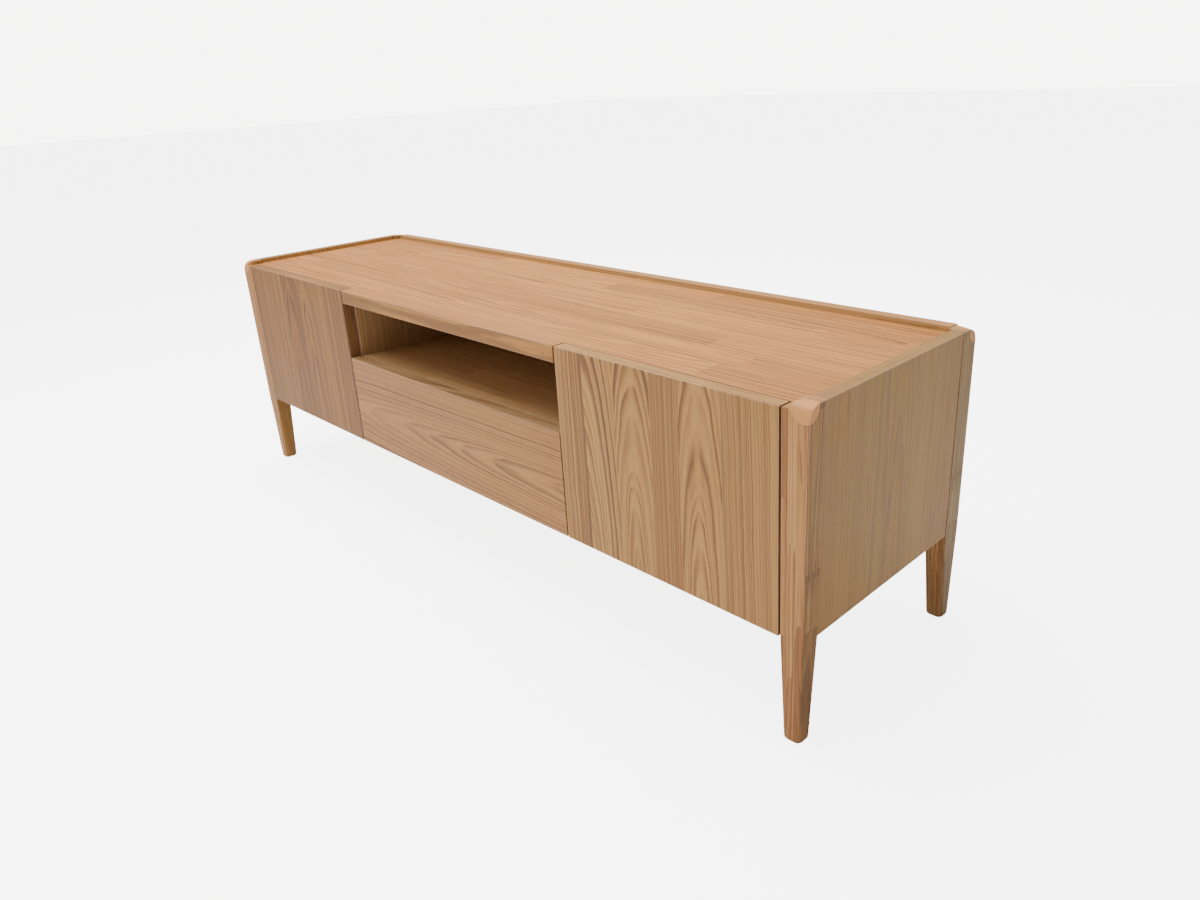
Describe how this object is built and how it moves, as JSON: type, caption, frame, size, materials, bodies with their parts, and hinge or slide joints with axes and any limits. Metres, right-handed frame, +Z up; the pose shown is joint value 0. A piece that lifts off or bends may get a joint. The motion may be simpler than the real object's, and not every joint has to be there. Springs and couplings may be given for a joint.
{
  "type": "media console",
  "caption": "Low solid-wood media console: two push-open doors, an open niche above a wide drawer, a raised lip round the top and tapered corner legs.",
  "frame": {"origin": "centre of the footprint, on the floor", "axes": "+X to the right along the length, +Y from the doors to the back, +Z up"},
  "size_m": [1.5, 0.4, 0.465],
  "materials": {
    "panel_wood": "clear matt lacquer on edge-glued staves",
    "door_wood": "clear matt lacquer, strong grain",
    "side_wood": "clear matt lacquer, quiet straight grain",
    "leg_wood": "clear matt lacquer on finger-jointed staves",
    "back_board": "veneered board",
    "steel": "nickel-plated steel",
    "zinc": "bright zinc plate",
    "grey_plastic": "moulded"
  },
  "bodies": {
    "case": {"top_panel": "panel_wood", "back_rail": "leg_wood", "left_side_panel": "side_wood", "right_side_panel": "side_wood", "left_front_leg": "leg_wood", "right_front_leg": "leg_wood", "left_rear_leg": "leg_wood", "right_rear_leg": "leg_wood", "bottom_panel": "side_wood", "left_partition": "side_wood", "right_partition": "side_wood", "niche_shelf": "panel_wood", "back_panel": "back_board", "back_panel_screws": "zinc", "case_dowels": "leg_wood", "left_shelf": "panel_wood", "right_shelf": "panel_wood", "shelf_pins": "steel", "left_hinge_batten": "leg_wood", "right_hinge_batten": "leg_wood", "left_hinge_plates": "steel", "right_hinge_plates": "steel", "left_hinge_arms": "steel", "right_hinge_arms": "steel", "plate_screws": "zinc", "left_latch_body": "grey_plastic", "right_latch_body": "grey_plastic", "drawer_latch_body": "grey_plastic", "case_runners": "zinc", "case_runner_screws": "zinc"},
    "left_door": {"left_door": "door_wood", "left_hinge_cups": "steel", "left_cup_screws": "zinc", "left_strike": "steel"},
    "right_door": {"right_door": "door_wood", "right_hinge_cups": "steel", "right_cup_screws": "zinc", "right_strike": "steel"},
    "left_hinge_links": {"left_hinge_links": "zinc"},
    "right_hinge_links": {"right_hinge_links": "zinc"},
    "left_plunger": {"left_latch_plunger": "zinc"},
    "right_plunger": {"right_latch_plunger": "zinc"},
    "drawer_plunger": {"drawer_latch_plunger": "zinc"},
    "middle_runners": {"middle_runners": "steel"},
    "drawer": {"drawer_front": "door_wood", "drawer_box_front": "side_wood", "drawer_left_side": "side_wood", "drawer_right_side": "side_wood", "drawer_back": "side_wood", "drawer_bottom": "back_board", "drawer_front_screws": "zinc", "drawer_runners": "zinc", "drawer_runner_screws": "zinc", "drawer_strike": "steel"}
  },
  "joints": [
    {"name": "left_door_hinge", "type": "hinge", "parent": "case", "child": "left_door", "pos_m": [-0.7075, -0.1975, 0.304], "axis": [0, 0, -1], "range_deg": [0, 95]},
    {"name": "left_link_pivot", "type": "hinge", "parent": "case", "child": "left_hinge_links", "pos_m": [-0.688, -0.177, 0.304], "axis": [0, 0, -1], "range_deg": [0, 54]},
    {"name": "left_push_latch", "type": "slide", "parent": "case", "child": "left_plunger", "axis": [0, -1, 0], "range_m": [0, 0.012]},
    {"name": "right_door_hinge", "type": "hinge", "parent": "case", "child": "right_door", "pos_m": [0.7075, -0.1975, 0.304], "axis": [0, 0, 1], "range_deg": [0, 95]},
    {"name": "right_link_pivot", "type": "hinge", "parent": "case", "child": "right_hinge_links", "pos_m": [0.688, -0.177, 0.304], "axis": [0, 0, 1], "range_deg": [0, 54]},
    {"name": "right_push_latch", "type": "slide", "parent": "case", "child": "right_plunger", "axis": [0, -1, 0], "range_m": [0, 0.012]},
    {"name": "drawer_slide", "type": "slide", "parent": "case", "child": "drawer", "axis": [0, -1, 0], "range_m": [0, 0.28]},
    {"name": "middle_runner_slide", "type": "slide", "parent": "case", "child": "middle_runners", "axis": [0, -1, 0], "range_m": [0, 0.14]},
    {"name": "drawer_push_latch", "type": "slide", "parent": "case", "child": "drawer_plunger", "axis": [0, -1, 0], "range_m": [0, 0.012]}
  ],
  "couplings": [
    {"joint": "left_link_pivot", "follows": "left_door_hinge", "ratio": 0.559},
    {"joint": "left_push_latch", "follows": "left_door_hinge", "m_per_rad": 0.0072},
    {"joint": "right_link_pivot", "follows": "right_door_hinge", "ratio": 0.559},
    {"joint": "right_push_latch", "follows": "right_door_hinge", "m_per_rad": 0.0072},
    {"joint": "middle_runner_slide", "follows": "drawer_slide", "ratio": 0.5},
    {"joint": "drawer_push_latch", "follows": "drawer_slide", "ratio": 0.04}
  ]
}
